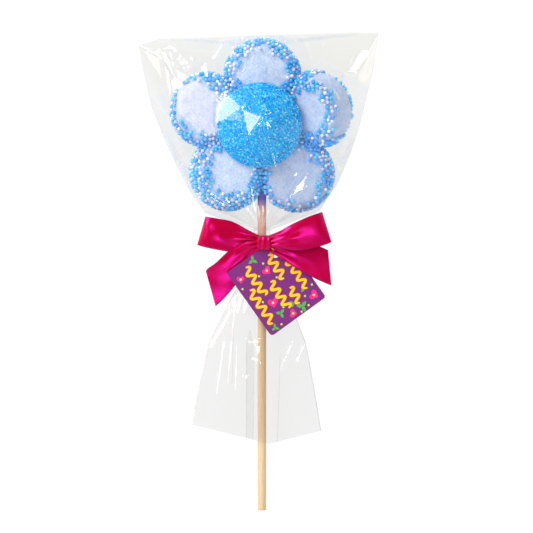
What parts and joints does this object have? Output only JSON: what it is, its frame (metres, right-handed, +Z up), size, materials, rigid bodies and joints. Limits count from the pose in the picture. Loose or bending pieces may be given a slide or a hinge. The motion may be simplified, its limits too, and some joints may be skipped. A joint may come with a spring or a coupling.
{
  "type": "marshmallow lollipop",
  "caption": "Flower lollipop of beaded blue marshmallow petals round a sugared dome on a wooden stick, in a clear film bag with a ribbon bow and a card tag.",
  "frame": {"origin": "the flower's centre, on the plane that the lollipop lies on", "axes": "+Z up, out of the flower's face; +Y along the stick's line towards the top petal, the stick runs towards -Y"},
  "size_m": [0.1205, 0.2396, 0.0338],
  "materials": {
    "marshmallow": "soft matt pale blue marshmallow with pearly blue and white sugar beads on its rims",
    "blue_sugar": "bright blue, coated with fine sugar crystals",
    "wooden_stick": "pale dowel, plain, with lengthwise grain",
    "clear_film": "thin clear crisp film with sharp creases and pleats",
    "satin_ribbon": "crimson pink satin with a bright sheen",
    "printed_card": "gloss purple print with small flowers",
    "gold_cord": "thin twisted golden tan cord"
  },
  "bodies": {
    "root": {"petal_top": "marshmallow", "petal_upper_right": "marshmallow", "petal_lower_right": "marshmallow", "petal_lower_left": "marshmallow", "petal_upper_left": "marshmallow", "dome": "blue_sugar", "stick": "wooden_stick", "film_bag": "clear_film", "bow": "satin_ribbon", "tag": "printed_card", "tag_cord": "gold_cord"}
  },
  "joints": []
}
